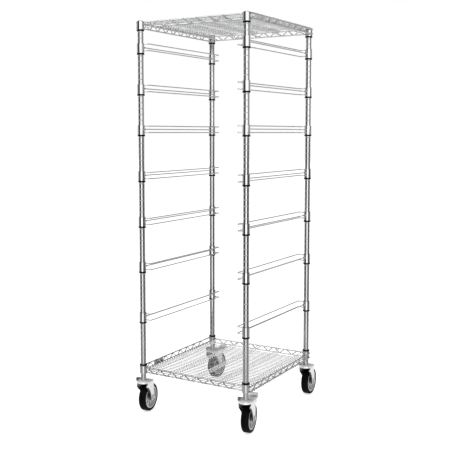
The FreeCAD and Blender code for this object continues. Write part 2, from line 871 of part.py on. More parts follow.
def make_core():
    """The wheel's moulded core: hub, dished web and rim."""
    rim, half = size("rim_dia") / 2, size("wheel_width") / 2 - 1.5
    hub, hub_half = size("hub_dia") / 2, size("hub_width") / 2
    bore = size("axle_sleeve_dia") / 2 + size("running_gap")
    web, lip = 5.0, rim - 6.0
    return turned(
        "core",
        [
            (bore, -hub_half),
            (hub - 3, -hub_half),
            (hub, -web - 3, hub - 0.4, -hub_half + 4),
            (hub + 4, -web),
            (lip - 4, -web),
            (lip, -half, lip - 1.2, -web - 4),
            (rim, -half),
            (rim, half),
            (lip, half),
            (lip - 4, web, lip - 1.2, web + 4),
            (hub + 4, web),
            (hub, web + 3),
            (hub - 3, hub_half, hub - 0.4, hub_half - 4),
            (bore, hub_half),
        ],
    )


def hexagon(across):
    """Corner points of a hexagon of that width across its flats."""
    reach = across / math.sqrt(3)
    return [
        (reach * math.cos(math.pi / 3 * n), reach * math.sin(math.pi / 3 * n)) for n in range(6)
    ]


def make_axle():
    """Axle bolt, its sleeve and its nut, about Z."""
    outer_leg = size("fork_inner_half") + size("fork_sheet")
    across_flats, play, past_leg = 15.0, 0.1, 9.0
    head_high, nut_high = 6.0, 7.0
    bolt = new_body("axle_bolt")
    drawn = new_sketch(bolt, "bolt_head_outline", "XY_Plane", outer_leg + play)
    draw_outline(drawn, hexagon(across_flats))
    pad(bolt, drawn, f"{head_high}")
    drawn = new_sketch(bolt, "bolt_shank_section", "XY_Plane", -outer_leg - past_leg)
    draw_circle(drawn, 0, 0, "axle_dia")
    pad(bolt, drawn, f"{2 * outer_leg + past_leg + head_high / 2}")

    nut = new_body("axle_nut")
    drawn = new_sketch(nut, "nut_outline", "XY_Plane", -outer_leg - nut_high - play)
    draw_outline(drawn, hexagon(across_flats))
    bore = size("axle_dia") / 2 + size("running_gap")
    drawn.addGeometry(Part.Circle(Vector(0, 0, 0), Vector(0, 0, 1), bore), False)
    pad(nut, drawn, f"{nut_high}")

    reach = size("fork_inner_half") - play
    outer = size("axle_sleeve_dia") / 2
    sleeve = turned("axle_sleeve", [(bore, -reach), (outer, -reach), (outer, reach), (bore, reach)])
    laid = {"bolt_laid": bolt, "nut_laid": nut, "sleeve_laid": sleeve}
    return [lay_on_axle(name, piece) for name, piece in laid.items()]


def make_pedal():
    """Foot pedal with hinge barrel, window, upturned toe, side flanges and brake shoe, and its pin."""
    hinge_y, hinge_z = size("pedal_hinge_y"), size("pedal_hinge_z")
    hinge = (hinge_y, hinge_z, hinge_y, hinge_z)
    pin, half_width = size("pedal_pin_dia") / 2, size("pedal_width") / 2
    barrel = pin + 1.9
    body = new_body("pedal")
    drawn = new_sketch(body, "pedal_side_view", "YZ_Plane")
    # from the barrel back along the shoe, the arm and the toe, about the hinge
    outline = [
        (0, barrel, 10, 5.2),
        (0, -2),
        (12, -1.5),
        (13, -6.4),
        (23, -7.4),
        (24, 0),
        (47, -1.4, 36, -0.8),
        (62.5, 15.5, 58.4, 4.8),
        (60.1, 16.6, 61.7, 16.8),
        (46, 1.8, 55, 7.2),
        (22, 4.0, 33, 2.4),
    ]
    draw_outline(drawn, [tuple(a + b for a, b in zip(point, hinge)) for point in outline])
    pad(body, drawn, "<pedal_width>", midplane=True)
    drawn = new_sketch(body, "pedal_barrel", "YZ_Plane")
    drawn.addGeometry(Part.Circle(Vector(hinge_y, hinge_z, 0), Vector(0, 0, 1), barrel), False)
    pad(body, drawn, "<pedal_width>", midplane=True)

    # downturned flanges outside the tyre on both sides
    flange = [
        (12, 4.6),
        (12, -12),
        (55, -3.5),
        (61.4, 10.5),
        (59.2, 12.6),
        (46, 1.4, 54.8, 6.6),
        (22, 3.6, 33, 2),
    ]
    outer, joint = half_width + size("pedal_flange"), 0.01
    for side, lift in (("left", -outer), ("right", half_width - joint)):
        drawn = new_sketch(body, f"pedal_flange_{side}", "YZ_Plane", lift)
        draw_outline(drawn, [tuple(a + b for a, b in zip(point, hinge)) for point in flange])
        pad(body, drawn, f"<pedal_flange> + {joint}")

    window = new_sketch(body, "pedal_window", "XY_Plane", hinge_z - 10)
    near, far, half = hinge_y + 31, hinge_y + 41, 9.0
    draw_outline(
        window,
        [(-half, near), (half, near, 0, near - 5), (half, far), (-half, far, 0, far + 6)],
    )
    pocket(body, window, "40", reversed_=True)
    bore = new_sketch(body, "pedal_bore", "YZ_Plane")
    bore.addGeometry(Part.Circle(Vector(hinge_y, hinge_z, 0), Vector(0, 0, 1), pin), False)
    pocket(body, bore, "80", midplane=True)
    reach = size("crown_half_width") + 2.5
    hinge_pin = rod("pedal_pin", "pedal_pin_dia", (-reach, hinge_y, hinge_z), (reach, hinge_y, hinge_z))
    return [body, hinge_pin]


BRAKED = ("front_right", "rear_left")
stem, socket, ball_ring = make_stem(), make_socket(), make_balls()
plain_fork = make_fork("plain_fork", 38.0, 49.0)
braked_fork = make_braked_fork(make_fork("long_fork", 53.0, 57.0))
tyre, core = lay_on_axle("tyre_laid", make_tyre()), lay_on_axle("core_laid", make_core())
axle, pedal = make_axle(), make_pedal()
for corner, (x, y, _, _) in CORNERS.items():
    turn = f"<swivel_{corner}>"
    node(f"caster_stem_{corner}", [stem, socket], x, y)
    fork = braked_fork if corner in BRAKED else plain_fork
    node(f"caster_fork_{corner}", [fork], x, y, angle=turn)
    node(f"caster_axle_{corner}", axle, x, y, angle=turn)
    node(f"wheel_core_{corner}", [core], x, y, angle=turn)
    node(f"wheel_tyre_{corner}", [tyre], x, y, angle=turn)
rings_of_balls = [
    turned_copy("balls_" + corner, ball_ring, 0, (side_x * HALF_X, side_y * HALF_Y, 0))
    for corner, (_, _, side_x, side_y) in CORNERS.items()
]
node("swivel_balls", rings_of_balls)
for corner in BRAKED:
    x, y, _, _ = CORNERS[corner]
    node(f"brake_pedal_{corner}", pedal, x, y, angle=f"<swivel_{corner}>")

# ---------------------------------------------------------------- checks and export

doc.recompute()
for thing in doc.Objects:
    if "Invalid" in thing.State or "Error" in thing.State:
        raise RuntimeError(f"{thing.Name} failed: {thing.State}")
os.makedirs("parts", exist_ok=True)
for made in NODES:
    if made.Shape.isNull() or not made.Shape.isValid():
        raise RuntimeError(f"{made.Label} has no valid shape")
for made in NODES:
    made.Shape.exportStep(f"parts/{made.Label}.step")
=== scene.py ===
"""Looks of the mobile sheet pan rack: plated wire and tube, moulded sleeves, zinc casters, rubber tyres."""
import bmesh
import bpy
import json
import math
import random
from mathutils import Matrix, Vector


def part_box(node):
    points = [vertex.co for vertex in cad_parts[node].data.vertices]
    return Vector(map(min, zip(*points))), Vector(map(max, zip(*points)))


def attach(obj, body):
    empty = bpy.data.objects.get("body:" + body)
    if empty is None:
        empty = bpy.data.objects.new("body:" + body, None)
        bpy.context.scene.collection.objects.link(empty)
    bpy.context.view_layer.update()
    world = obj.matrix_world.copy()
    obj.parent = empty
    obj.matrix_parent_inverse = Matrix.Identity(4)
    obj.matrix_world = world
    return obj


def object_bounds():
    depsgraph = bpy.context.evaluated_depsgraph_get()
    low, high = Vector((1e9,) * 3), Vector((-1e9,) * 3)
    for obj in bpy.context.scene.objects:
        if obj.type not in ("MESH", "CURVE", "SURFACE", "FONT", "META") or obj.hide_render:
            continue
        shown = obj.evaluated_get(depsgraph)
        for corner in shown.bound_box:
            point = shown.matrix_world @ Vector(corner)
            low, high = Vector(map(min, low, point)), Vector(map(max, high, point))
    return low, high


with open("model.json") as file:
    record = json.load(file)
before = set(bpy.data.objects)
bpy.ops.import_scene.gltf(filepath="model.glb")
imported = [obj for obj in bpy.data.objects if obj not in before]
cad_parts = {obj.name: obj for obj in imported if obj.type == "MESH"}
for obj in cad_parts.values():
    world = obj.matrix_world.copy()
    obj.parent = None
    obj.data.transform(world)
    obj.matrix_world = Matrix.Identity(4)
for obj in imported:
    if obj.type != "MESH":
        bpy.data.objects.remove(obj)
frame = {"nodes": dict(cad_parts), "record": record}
CAD_LOW, CAD_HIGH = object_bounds()
NODES = frame["nodes"]
SLOT_OF = {part["node"]: part["material_slot"] for part in frame["record"]["subparts"]}
JOINTS = {joint["name"]: joint for joint in frame["record"]["behaviour"]["joints"]}
CORNERS = ("front_left", "front_right", "rear_left", "rear_right")
BRAKED = ("front_right", "rear_left")
MM = 0.001
chance = random.Random(17)

# ---------------------------------------------------------------- places read from the frame


def middle(node):
    """The middle of a node's box."""
    low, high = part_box(node)
    return (low + high) / 2


POST_AT = {corner: middle("post_" + corner) for corner in CORNERS}
RACK_MIDDLE = sum((POST_AT[c] for c in CORNERS), Vector()) / 4
WHEEL_AT = {c: Vector(JOINTS["wheel_spin_" + c]["pos_m"]) for c in CORNERS}


def heading(corner):
    """A caster's directions: across, along its axle, and back, from its post towards its wheel."""
    across = Vector(JOINTS["wheel_spin_" + corner]["axis"]).normalized()
    back = Vector((-across.y, across.x, 0))
    if (WHEEL_AT[corner] - POST_AT[corner]).dot(back) < 0:
        return -across, -back
    return across, back


# ---------------------------------------------------------------- materials

POST_BRIGHT, POST_DULL = (0.60, 0.603, 0.607), (0.50, 0.503, 0.507)
WIRE_BRIGHT, WIRE_DULL = (0.72, 0.723, 0.727), (0.60, 0.603, 0.607)
RIB_BRIGHT, RIB_DULL = (0.95, 0.95, 0.953), (0.88, 0.88, 0.883)
MAT_BRIGHT, MAT_DULL = (0.46, 0.463, 0.467), (0.38, 0.383, 0.387)
CLEAR, RUBBED_CLEAR = (0.55, 0.56, 0.57), (0.66, 0.67, 0.68)
BLACK, RUBBED_BLACK = (0.006, 0.006, 0.0065), (0.014, 0.014, 0.0145)
GREY, PALE = (0.56, 0.565, 0.57), (0.64, 0.645, 0.65)

# Marks per metre in the plate along each axis. Those on a post run up it.
POST_GRAIN, WIRE_GRAIN = (900.0, 900.0, 6.0), (420.0, 420.0, 420.0)

# A black ellipse of painted shade on each fork's front stands for the shadowed inside of the fork: how far
# its middle is ahead of the post's axis and above the floor, and half its width and height.
FORK_SHADE_AHEAD, FORK_SHADE_UP = 24 * MM, 50 * MM
FORK_SHADE_REACH, FORK_SHADE_RISE = 54 * MM, 76 * MM


class Shader:
    """A principled material and short ways to feed it."""

    def __init__(self, name, colour, metallic, roughness):
        self.material = bpy.data.materials.new(name)
        self.material.use_nodes = True
        self.tree = self.material.node_tree
        self.surface = self.tree.nodes["Principled BSDF"]
        self.surface.inputs["Base Color"].default_value = (*colour, 1)
        self.surface.inputs["Metallic"].default_value = metallic
        self.surface.inputs["Roughness"].default_value = roughness
        self.place = self.add("ShaderNodeTexCoord").outputs["Object"]
        self.material.diffuse_color = (*colour, 1)

    def add(self, kind, **settings):
        made = self.tree.nodes.new(kind)
        for key, value in settings.items():
            setattr(made, key, value)
        return made

    def join(self, output, socket):
        self.tree.links.new(output, socket)

    def stretched(self, scale):
        """Object coordinates in metres, scaled along each axis."""
        mapping = self.add("ShaderNodeMapping")
        self.join(self.place, mapping.inputs["Vector"])
        mapping.inputs["Scale"].default_value = scale
        return mapping.outputs["Vector"]

    def noise(self, scale, detail=3.0, rough=0.55, place=None, distortion=0.0):
        made = self.add("ShaderNodeTexNoise")
        made.inputs["Scale"].default_value = scale
        made.inputs["Detail"].default_value = detail
        made.inputs["Roughness"].default_value = rough
        made.inputs["Distortion"].default_value = distortion
        self.join(place or self.place, made.inputs["Vector"])
        return made.outputs["Fac"]

    def cells(self, scale):
        """A random colour for each small cell of the surface."""
        made = self.add("ShaderNodeTexVoronoi")
        made.inputs["Scale"].default_value = scale
        self.join(self.place, made.inputs["Vector"])
        return made.outputs["Color"]

    def ramp(self, factor, *stops):
        """A ramp of (position, grey or colour) stops."""
        made = self.add("ShaderNodeValToRGB")
        elements = made.color_ramp.elements
        while len(elements) < len(stops):
            elements.new(0.5)
        for element, (position, value) in zip(elements, stops):
            element.position = position
            element.color = (*value, 1) if isinstance(value, tuple) else (value, value, value, 1)
        self.join(factor, made.inputs["Fac"])
        return made.outputs["Color"]

    def math(self, operation, a, b=None):
        made = self.add("ShaderNodeMath", operation=operation)
        for socket, value in zip(made.inputs, (a, b)):
            if value is None:
                continue
            if isinstance(value, (int, float)):
                socket.default_value = value
            else:
                self.join(value, socket)
        return made.outputs["Value"]

    def mix(self, factor, a, b):
        """Colour a where the factor is 0 and b where it is 1."""
        made = self.add("ShaderNodeMix", data_type="RGBA")
        self.join(factor, made.inputs[0])
        for socket, value in ((made.inputs[6], a), (made.inputs[7], b)):
            if isinstance(value, tuple):
                socket.default_value = (*value, 1)
            else:
                self.join(value, socket)
        return made.outputs[2]

    def colour(self, output):
        self.join(output, self.surface.inputs["Base Color"])

    def roughness(self, output):
        self.join(output, self.surface.inputs["Roughness"])

    def bump(self, *layers):
        """Stacks (height output, depth in metres) layers into one normal."""
        normal = None
        for height, depth in layers:
            made = self.add("ShaderNodeBump")
            made.inputs["Strength"].default_value = 1.0
            made.inputs["Distance"].default_value = depth
            self.join(height, made.inputs["Height"])
            if normal is not None:
                self.join(normal, made.inputs["Normal"])
            normal = made.outputs["Normal"]
        self.join(normal, self.surface.inputs["Normal"])

    def hollow(self, reach):
        """1 on open faces and towards 0 in the hollows and corners that light doesn't reach."""
        made = self.add("ShaderNodeAmbientOcclusion", samples=8)
        made.inputs["Distance"].default_value = reach
        return made.outputs["AO"]

    def fork_painted_shade(self, foot, back):
        """1 inside the ellipse where a fork is painted black as shade, and 0 outside it."""
        along = self.add("ShaderNodeVectorMath", operation="DOT_PRODUCT")
        self.join(self.place, along.inputs[0])
        along.inputs[1].default_value = back
        split = self.add("ShaderNodeSeparateXYZ")
        self.join(self.place, split.inputs["Vector"])
        behind = self.math("SUBTRACT", along.outputs["Value"], foot.dot(back) - FORK_SHADE_AHEAD)
        above = self.math("SUBTRACT", split.outputs["Z"], FORK_SHADE_UP)
        shares = [self.math("DIVIDE", behind, FORK_SHADE_REACH), self.math("DIVIDE", above, FORK_SHADE_RISE)]
        reach = self.math("ADD", *(self.math("MULTIPLY", share, share) for share in shares))
        return self.ramp(self.math("MULTIPLY", reach, 0.5), (0.48, 1.0), (0.52, 0.0))

    def around(self, centre):
        """Distance from a point, for rings round a wheel's hub."""
        made = self.add("ShaderNodeVectorMath", operation="DISTANCE")
        self.join(self.place, made.inputs[0])
        made.inputs[1].default_value = centre
        return made.outputs["Value"]


def chrome(name, bright, dull, grain=WIRE_GRAIN, metal=1.0):
    """Bright nickel-chrome plate over drawn steel: long faint draw lines, haze and specks."""
    made = Shader(name, bright, metal, 0.1)
    lines = made.noise(1.0, 4.0, 0.6, made.stretched(grain))
    haze = made.noise(9.0, 5.0, 0.6, distortion=0.4)
    specks = made.ramp(made.noise(700.0, 2.0), (0.66, 0.0), (0.74, 1.0))
    made.colour(made.mix(made.ramp(haze, (0.35, 0.0), (0.72, 1.0)), bright, dull))
    rough = made.math("ADD", made.math("MULTIPLY", haze, 0.11), made.math("MULTIPLY", lines, 0.10))
    made.roughness(made.math("ADD", rough, made.math("MULTIPLY", specks, 0.12)))
    made.bump((lines, 0.00002), (made.noise(160.0, 3.0), 0.00005), (specks, 0.000008))
    return made.material


def zinc(name, foot=None, back=None):
    """Bright zinc plate on pressed steel: soft spangle, drawing marks and faint milky bloom, with painted
    shade darkening its hollows.
    A fork, which has a foot and a backward direction, also gets a black, non-metal ellipse of painted shade
    on its front."""
    made = Shader(name, (0.90, 0.905, 0.91), 0.45, 0.36)
    split = made.add("ShaderNodeSeparateColor")
    made.join(made.cells(170.0), split.inputs["Color"])
    grain = made.ramp(split.outputs["Red"], (0.0, (0.86, 0.865, 0.88)), (1.0, (0.96, 0.965, 0.97)))
    bloom = made.ramp(made.noise(28.0, 5.0, 0.62), (0.42, 0.0), (0.75, 1.0))
    plated = made.mix(bloom, grain, (0.93, 0.935, 0.93))
    # Painted shade: the colour darkens towards black in the hollows and corners that occlusion finds.
    painted_shade = made.ramp(made.hollow(0.05), (0.30, 0.0), (0.66, 1.0))
    shaded = made.mix(painted_shade, (0.02, 0.02, 0.021), plated)
    if foot is not None:
        # Painted shade: inside this ellipse the fork is coloured black and not metallic, standing for the
        # shadow inside the fork.
        fork_painted_shade = made.fork_painted_shade(foot, back)
        shaded = made.mix(fork_painted_shade, shaded, BLACK)
        outside_fork_shade = made.math("SUBTRACT", 1.0, fork_painted_shade)
        made.join(made.math("MULTIPLY", outside_fork_shade, 0.45), made.surface.inputs["Metallic"])
    made.colour(shaded)
    rough = made.math("MULTIPLY", split.outputs["Green"], 0.10)
    made.roughness(made.math("ADD", made.math("MULTIPLY", bloom, 0.16), made.math("ADD", rough, 0.26)))
    marks = made.noise(1.0, 3.0, 0.5, made.stretched((1400.0, 1400.0, 120.0)))
    made.bump((made.noise(240.0, 4.0), 0.00006), (marks, 0.00002))
    return made.material


def bright_steel(name):
    """Plated fasteners and balls: turned marks and darker handling stains."""
    made = Shader(name, (0.74, 0.74, 0.75), 0.75, 0.35)
    stain = made.ramp(made.noise(90.0, 5.0), (0.38, 0.0), (0.70, 1.0))
    made.colour(made.mix(stain, (0.80, 0.80, 0.81), (0.60, 0.60, 0.59)))
    made.roughness(made.math("ADD", made.math("MULTIPLY", stain, 0.2), 0.16))
    made.bump((made.noise(1.0, 2.0, 0.5, made.stretched((300.0, 2600.0, 2600.0))), 0.00002))
    return made.material


def moulded(name, colour, worn, grain_scale=1500.0, roughness=0.42, centre=None, gloss=0.45):
    """Moulded plastic: fine spark-eroded grain, flow streaks and rubbed patches, with painted shade
    darkening its hollows.
    """
    made = Shader(name, colour, 0.0, roughness)
    made.surface.inputs["Specular IOR Level"].default_value = gloss
    rubbed = made.ramp(made.noise(55.0, 5.0, 0.65), (0.46, 0.0), (0.80, 1.0))
    flow = made.noise(1.0, 3.0, 0.6, made.stretched((70.0, 70.0, 25.0)))
    base = made.mix(made.ramp(flow, (0.3, 0.0), (0.7, 1.0)), colour, tuple(0.82 * c for c in colour))
    # Painted shade: the colour darkens in the hollows and corners that occlusion finds, on sleeves, caps and
    # wheel cores.
    painted_shade = made.ramp(made.hollow(0.05), (0.24, 0.0), (0.66, 1.0))
    made.colour(made.mix(painted_shade, tuple(0.12 * c for c in colour), made.mix(rubbed, base, worn)))
    made.roughness(made.math("ADD", made.math("MULTIPLY", rubbed, 0.16), roughness - 0.06))
    layers = [(made.noise(grain_scale, 2.0), 0.00005), (flow, 0.00004)]
    if centre is not None:
        rings = made.math("SINE", made.math("MULTIPLY", made.around(centre), 2600.0))
        layers.append((rings, 0.000015))
    made.bump(*layers)
    return made.material


def rubber(name, centre):
    """Black tyre rubber: mould lines round the sidewall, a dusty scuffed tread and fine pores."""
    made = Shader(name, (0.017, 0.017, 0.018), 0.0, 0.55)
    made.surface.inputs["Specular IOR Level"].default_value = 0.04
    reach = made.around(centre)
    dust = made.ramp(made.noise(120.0, 6.0, 0.7), (0.50, 0.0), (0.78, 1.0))
    low_tread = made.ramp(made.math("MULTIPLY", reach, 10.0), (0.60, 0.0), (0.645, 1.0))
    dusty = made.math("MULTIPLY", dust, made.math("ADD", made.math("MULTIPLY", low_tread, 0.7), 0.3))
    made.colour(made.mix(dusty, (0.003, 0.003, 0.0033), (0.015, 0.0147, 0.0144)))
    made.roughness(made.math("ADD", made.math("MULTIPLY", dusty, 0.25), 0.46))
    rings = made.math("SINE", made.math("MULTIPLY", reach, 3900.0))
    made.bump((rings, 0.00003), (made.noise(900.0, 3.0), 0.00006))
    return made.material


def weld_steel(name):
    """Plated weld nuggets, coloured far darker than the wires as painted shade where wires cross, with a
    rough skin in faintly warm patches.
    """
    made = Shader(name, (0.70, 0.70, 0.69), 1.0, 0.28)
    heat = made.noise(400.0, 4.0)
    # Painted shade: both greys are far darker than plated steel, standing for the contact shade at the
    # crossings.
    made.colour(made.mix(heat, (0.17, 0.17, 0.17), (0.09, 0.088, 0.086)))
    made.roughness(made.math("ADD", made.math("MULTIPLY", heat, 0.25), 0.12))
    made.bump((made.noise(1600.0, 3.0), 0.0001))
    return made.material


def satin_plate(name):
    """Satin sheet with brush lines along its length and duller patches."""
    made = Shader(name, (0.42, 0.43, 0.44), 0.9, 0.4)
    brush = made.noise(1.0, 3.0, 0.6, made.stretched((2500.0, 60.0, 2500.0)))
    dull = made.ramp(made.noise(70.0, 4.0), (0.4, 0.0), (0.75, 1.0))
    made.colour(made.mix(dull, (0.46, 0.47, 0.48), (0.30, 0.31, 0.32)))
    made.roughness(made.math("ADD", made.math("MULTIPLY", brush, 0.2), 0.28))
    made.bump((brush, 0.00003))
    return made.material


FINISHES = {
    "chrome_post": chrome("chrome_post", POST_BRIGHT, POST_DULL, POST_GRAIN),
    "chrome_wire": chrome("chrome_wire", WIRE_BRIGHT, WIRE_DULL),
    "chrome_rib": chrome("chrome_rib", RIB_BRIGHT, RIB_DULL),
    "satin_rib": chrome("satin_rib", RIB_BRIGHT, RIB_DULL, metal=0.3),
    "chrome_mat": chrome("chrome_mat", MAT_BRIGHT, MAT_DULL),
    "cap_plastic": moulded("cap_plastic", CLEAR, RUBBED_CLEAR),
    "sleeve_plastic": moulded("sleeve_plastic", BLACK, RUBBED_BLACK, gloss=0.08),
    "zinc_steel": zinc("zinc_steel"),
    "bright_steel": bright_steel("bright_steel"),
    "plate_metal": satin_plate("plate_metal"),
    "weld_steel": weld_steel("weld_steel"),
}
FORKS = {c: zinc("zinc_fork_" + c, POST_AT[c], heading(c)[1]) for c in CORNERS}
TYRES = {c: rubber("tyre_rubber_" + c, WHEEL_AT[c]) for c in CORNERS}
CORES = {c: moulded("wheel_grey_" + c, GREY, PALE, 1100.0, 0.38, WHEEL_AT[c]) for c in CORNERS}


def dress(piece, material):
    piece.data.materials.clear()
    piece.data.materials.append(material)


for name, piece in NODES.items():
    corner = next((c for c in CORNERS if name.endswith(c)), None)
    if name.startswith("wheel_tyre"):
        dress(piece, TYRES[corner])
    elif name.startswith("wheel_core"):
        dress(piece, CORES[corner])
    elif name.startswith("caster_fork"):
        dress(piece, FORKS[corner])
    elif name.endswith("_ribs"):
        dress(piece, FINISHES["satin_rib" if name.startswith("bottom") else "chrome_rib"])
    elif name == "bottom_shelf_mat":
        dress(piece, FINISHES["chrome_mat"])
    else:
        dress(piece, FINISHES[SLOT_OF[name]])

# ---------------------------------------------------------------- mesh helpers

# Faces that meet at a smaller angle than this are shaded as one smooth surface.
SMOOTH_BELOW = math.radians(40)


def finish_piece(name, mesh_data, material, body):
    """Turns a bmesh into a shaded piece that rides on a body."""
    data = bpy.data.meshes.new(name)
    bmesh.ops.recalc_face_normals(mesh_data, faces=mesh_data.faces)
    mesh_data.to_mesh(data)
    mesh_data.free()
    for face in data.polygons:
        face.use_smooth = True
    data.set_sharp_from_angle(angle=SMOOTH_BELOW)
    piece = bpy.data.objects.new(name, data)
    bpy.context.collection.objects.link(piece)
    data.materials.append(material)
    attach(piece, body)


def turn_to(axis):
    """Rotation that takes +Z to the axis."""
    return Vector(axis).to_track_quat("Z", "Y").to_matrix().to_4x4()


def lathe(mesh_data, profile, matrix, steps=48):
    """Turns a closed outline of (radius, height) points about Z and puts it in place by a matrix."""
    rings = []
    for radius, height in profile:
        turns = [2 * math.pi * n / steps for n in range(steps)] if radius > 0 else [0.0]
        points = [Vector((radius * math.cos(t), radius * math.sin(t), height)) for t in turns]
        rings.append([mesh_data.verts.new(matrix @ point) for point in points])
    pairs = list(zip(rings, rings[1:]))
    if len(rings[0]) > 1 and len(rings[-1]) > 1:
        pairs.append((rings[-1], rings[0]))
    for a, b in pairs:
        if len(a) + len(b) == 2:
            continue
        for n in range(steps):
            m = (n + 1) % steps
            corners = [a[n % len(a)], a[m % len(a)], b[m % len(b)], b[n % len(b)]]
            mesh_data.faces.new(list(dict.fromkeys(corners)))


def nugget(mesh_data, place, spread, axis=(0, 0, 1), spin=0.0):
    """A flattened, slightly uneven weld bead. The spread's third length lies along the axis."""
    made = bmesh.ops.create_icosphere(mesh_data, subdivisions=2, radius=1.0)
    turn = turn_to(axis) @ Matrix.Rotation(spin, 4, "Z") @ Matrix.Diagonal((*spread, 1))
    for vertex in made["verts"]:
        uneven = 1 + chance.uniform(-0.07, 0.07)
        vertex.co = Matrix.Translation(place) @ turn @ (vertex.co * uneven)


def block(mesh_data, size, matrix, round_by=0.25):
    """A box with rounded edges, about its middle."""
    made = bmesh.ops.create_cube(mesh_data, size=1.0)
    edges = {e for v in made["verts"] for e in v.link_edges}
    for vertex in made["verts"]:
        vertex.co = Vector(a * b for a, b in zip(vertex.co, size))
    cut = bmesh.ops.bevel(
        mesh_data, geom=list(edges), offset=round_by * min(size), segments=2, affect="EDGES", profile=0.6
    )
    touched = {v for f in cut["faces"] for v in f.verts}
    bmesh.ops.transform(mesh_data, matrix=matrix, verts=list(touched))


def coil(mesh_data, radius, wire, turns, length, matrix, steps=20, sides=8):
    """A coil spring about Z, its wire capped at both ends."""
    count = int(turns * steps)
    rings = []
    for n in range(count + 1):
        turn = 2 * math.pi * n / steps
        out, up = Vector((math.cos(turn), math.sin(turn), 0)), Vector((0, 0, 1))
        centre = out * radius + up * (length * n / count)
        ring = []
        for k in range(sides):
            angle = 2 * math.pi * k / sides
            edge = centre + wire * (math.cos(angle) * out + math.sin(angle) * up)
            ring.append(mesh_data.verts.new(matrix @ edge))
        rings.append(ring)
    for a, b in zip(rings, rings[1:]):
        for k in range(sides):
            m = (k + 1) % sides
            mesh_data.faces.new((a[k], a[m], b[m], b[k]))
    mesh_data.faces.new(list(reversed(rings[0])))
    mesh_data.faces.new(rings[-1])


def mm(*lengths):
    """A vector in metres from lengths in millimetres."""
    return Vector(length * MM for length in lengths)


# ---------------------------------------------------------------- weld beads on the shelves and slides

# In mm: the grooves up the posts and half the spans between posts.
GROOVE_FIRST, GROOVE_PITCH = 182.4, 25.4
SPAN_X = (POST_AT["front_right"] - POST_AT["front_left"]).x / MM / 2
SPAN_Y = (POST_AT["rear_left"] - POST_AT["front_left"]).y / MM / 2

# The groove that each shelf and slide grips. A shelf's way is -1 where it hangs upside down.
BOTTOM_GROOVE, TOP_GROOVE = 1, 61
SHELVES = {"bottom_shelf": (BOTTOM_GROOVE, -1), "top_shelf": (TOP_GROOVE, 1)}
SLIDES = (10, 19, 27, 35, 43, 50, 57)

# A shelf in mm, with heights about its groove: frame wires and collars, mat and ribs, and the places along
# the ends and sides where its snaking wires touch the frame.
NEAR, FAR, FRAME_R, MAT_R = -3.8, 17.0, 3.0, 1.6
COLLAR_R = 17.0
SIDE_X = SPAN_X + COLLAR_R + FRAME_R
MAT_Z, MAT_PITCH, MATS = 21.6, 19.8, 29
MAT_YS = [MAT_PITCH * (n - (MATS - 1) / 2) for n in range(MATS)]
RIB_XS = [119.0 * n for n in (-2, -1, 0, 1, 2)]
END_NODES = [-235.0 + 32.4 * n for n in range(15)]
SIDE_NODES = [-240.0 + 31.1 * n for n in range(17)]

# A slide in mm, with heights about its groove: collars, rails, and where its tie wires end.
SLIDE_COLLAR_R, RAIL_LEVELS = 16.0, (-3.8, 24.1)
TIE_IN, TIE_ALONG, TIE_Z = 11.4, 13.0, 10.2

# Half sizes of the weld beads in mm. The third is along the axis that the bead is turned to.
END_SNAKE_BEAD, SIDE_SNAKE_BEAD = (1.7, 5.2, 2.1), (2.1, 1.7, 5.2)
SIDE_MAT_BEAD, RIB_MAT_BEAD, RIB_END_BEAD = (2.6, 2.3, 1.0), (2.0, 2.4, 1.1), (2.8, 3.2, 1.2)
WIRE_END_BEAD, COLLAR_SEAM_BEAD = (4.5, 4.5, 2.0), (2.6, 2.6, 7.0)
RAIL_END_BEAD, TIE_END_BEAD = (3.7, 3.7, 1.8), (3.6, 3.6, 2.2)
ALONG_X, ALONG_Y = (1, 0, 0), (0, 1, 0)


def groove_z(number):
    """A groove's height above the floor in mm."""
    return GROOVE_FIRST + GROOVE_PITCH * number


def on_rack(x, y, z):
    """A point in mm from the rack's middle at floor level."""
    return Vector((RACK_MIDDLE.x, RACK_MIDDLE.y, 0)) + mm(x, y, z)


def shelf_weld_beads(shelf, groove, way):
    """Beads where a shelf's wires cross each other and meet its collars."""

    def place(x, y, z):
        return on_rack(x, way * y, groove_z(groove) + way * z)

    beads = bmesh.new()
    for end in (-1, 1):
        touch = end * (SPAN_Y + FRAME_R)
        for n, x in enumerate(END_NODES):
            level = FAR if (n % 2 == 0) == (way > 0) else NEAR
            nugget(beads, place(x, touch, level), mm(*END_SNAKE_BEAD), ALONG_X, math.pi / 2)
    for side in (-1, 1):
        touch = side * (SIDE_X - FRAME_R)
        for n, y in enumerate(SIDE_NODES):
            level = NEAR if n % 2 else FAR
            nugget(beads, place(touch, y, level), mm(*SIDE_SNAKE_BEAD), ALONG_Y)
        for y in MAT_YS:
            nugget(beads, place(side * SIDE_X, y, MAT_Z - MAT_R), mm(*SIDE_MAT_BEAD))
        for end in (-1, 1):
            for level in (NEAR, FAR):
                wire_end = place(side * (SPAN_X - COLLAR_R), end * SPAN_Y, level)
                nugget(beads, wire_end, mm(*WIRE_END_BEAD), ALONG_X)
                beside = place(side * (SPAN_X + COLLAR_R), end * SPAN_Y, level)
                nugget(beads, beside, mm(*COLLAR_SEAM_BEAD), ALONG_Y)
    for x in RIB_XS:
        for y in MAT_YS:
            nugget(beads, place(x, y, MAT_Z - MAT_R), mm(*RIB_MAT_BEAD))
        for end in (-1, 1):
            nugget(beads, place(x, end * SPAN_Y, NEAR + FRAME_R), mm(*RIB_END_BEAD))
    finish_piece(f"{shelf}_weld_beads", beads, FINISHES["weld_steel"], "rack")


